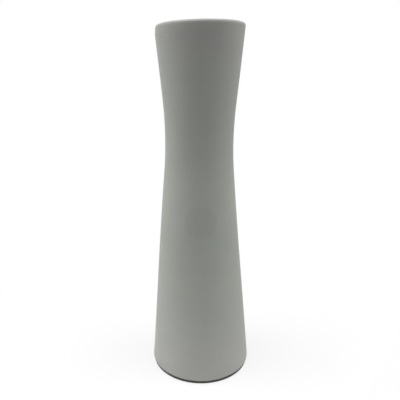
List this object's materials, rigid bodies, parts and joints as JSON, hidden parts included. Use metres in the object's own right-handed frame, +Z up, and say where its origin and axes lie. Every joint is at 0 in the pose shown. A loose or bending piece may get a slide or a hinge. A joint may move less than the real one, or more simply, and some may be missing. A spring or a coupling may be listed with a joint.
{
  "type": "trumpet vase",
  "caption": "Tall round ceramic trumpet vase: a tapering foot narrows to a high waist and flares to a round-edged lip. Hollow to hold water and stems, on a felt base pad.",
  "frame": {"origin": "on the table under the middle of the foot", "axes": "+Z up along the axis of the vase, +X to the right and +Y away from the viewer in the picture's view"},
  "size_m": [0.09, 0.09, 0.3],
  "materials": {
    "matte_glazed_clay": "matte stone-grey glaze outside, satin glaze inside",
    "double_sided_tape": "translucent film with tacky faces",
    "charcoal_felt": "pressed felt"
  },
  "bodies": {
    "root": {"vase_body": "matte_glazed_clay", "tape_ring": "double_sided_tape", "base_pad": "charcoal_felt"}
  },
  "joints": []
}
